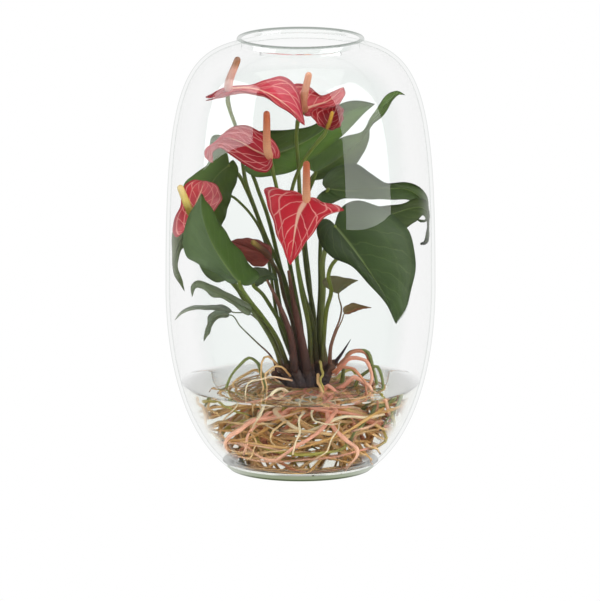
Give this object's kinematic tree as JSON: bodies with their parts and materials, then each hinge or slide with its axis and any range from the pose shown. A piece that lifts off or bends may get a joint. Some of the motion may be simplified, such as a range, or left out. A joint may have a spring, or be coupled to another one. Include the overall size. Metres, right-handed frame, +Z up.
{
  "type": "potted anthurium",
  "caption": "Anthurium with red flowers and heart-shaped leaves growing in water, bare roots showing, inside a clear barrel-shaped glass vase.",
  "frame": {"origin": "middle of the vase's flat foot, on the surface it stands on", "axes": "+Z up out of the vase's mouth; -Y is the side that the front flower faces; +X to the viewer's right"},
  "size_m": [0.185, 0.185, 0.3],
  "materials": {
    "vase_glass": "clear, polished, very slightly green",
    "water": "clear still water",
    "crown_bark": "dark grey-brown, rough",
    "root_skin": "pale tan, some pink and some olive, satin",
    "leaf_green": "dark green, soft gloss, paler veins",
    "young_leaf_green": "grey-green, satin",
    "stalk_green": "yellow-green, satin",
    "spathe_red": "crimson with pale pink veins, glossy",
    "spathe_faded_red": "red-brown, satin",
    "spadix_orange": "orange tip fading to cream, fine bumps",
    "sheath_brown": "red-brown, papery"
  },
  "bodies": {
    "root": {"bud_scale": "sheath_brown", "crown": "crown_bark", "flower_far_left_spadix": "spadix_orange", "flower_far_left_spathe": "spathe_red", "flower_far_left_stalk": "stalk_green", "flower_far_top_spadix": "spadix_orange", "flower_far_top_spathe": "spathe_red", "flower_far_top_stalk": "stalk_green", "flower_front_spadix": "spadix_orange", "flower_front_spathe": "spathe_red", "flower_front_stalk": "stalk_green", "flower_mid_left_spadix": "spadix_orange", "flower_mid_left_spathe": "spathe_red", "flower_mid_left_stalk": "stalk_green", "flower_old_spadix": "spadix_orange", "flower_old_spathe": "spathe_faded_red", "flower_old_stalk": "stalk_green", "flower_top_spadix": "spadix_orange", "flower_top_spathe": "spathe_red", "flower_top_stalk": "stalk_green", "flower_young_spadix": "spadix_orange", "flower_young_spathe": "spathe_red", "flower_young_stalk": "stalk_green", "leaf_far_left_blade": "leaf_green", "leaf_far_left_stalk": "stalk_green", "leaf_front_left_blade": "leaf_green", "leaf_front_left_stalk": "stalk_green", "leaf_low_centre_blade": "leaf_green", "leaf_low_centre_stalk": "stalk_green", "leaf_low_left_blade": "leaf_green", "leaf_low_left_stalk": "stalk_green", "leaf_right_arching_blade": "leaf_green", "leaf_right_arching_stalk": "stalk_green", "leaf_right_back_blade": "leaf_green", "leaf_right_back_stalk": "stalk_green", "leaf_right_front_blade": "leaf_green", "leaf_right_front_stalk": "stalk_green", "leaf_top_centre_blade": "leaf_green", "leaf_top_centre_stalk": "stalk_green", "leaf_top_right_blade": "leaf_green", "leaf_top_right_stalk": "stalk_green", "leaf_upper_left_blade": "leaf_green", "leaf_upper_left_stalk": "stalk_green", "roots": "root_skin", "sheath_short": "sheath_brown", "sheath_tall": "sheath_brown", "vase": "vase_glass", "water": "water", "young_leaf_brown_right": "young_leaf_green", "young_leaf_curled_left": "young_leaf_green", "young_leaf_narrow_left": "young_leaf_green", "young_leaf_small_right": "young_leaf_green", "young_leaf_thread_left": "young_leaf_green"}
  },
  "joints": []
}
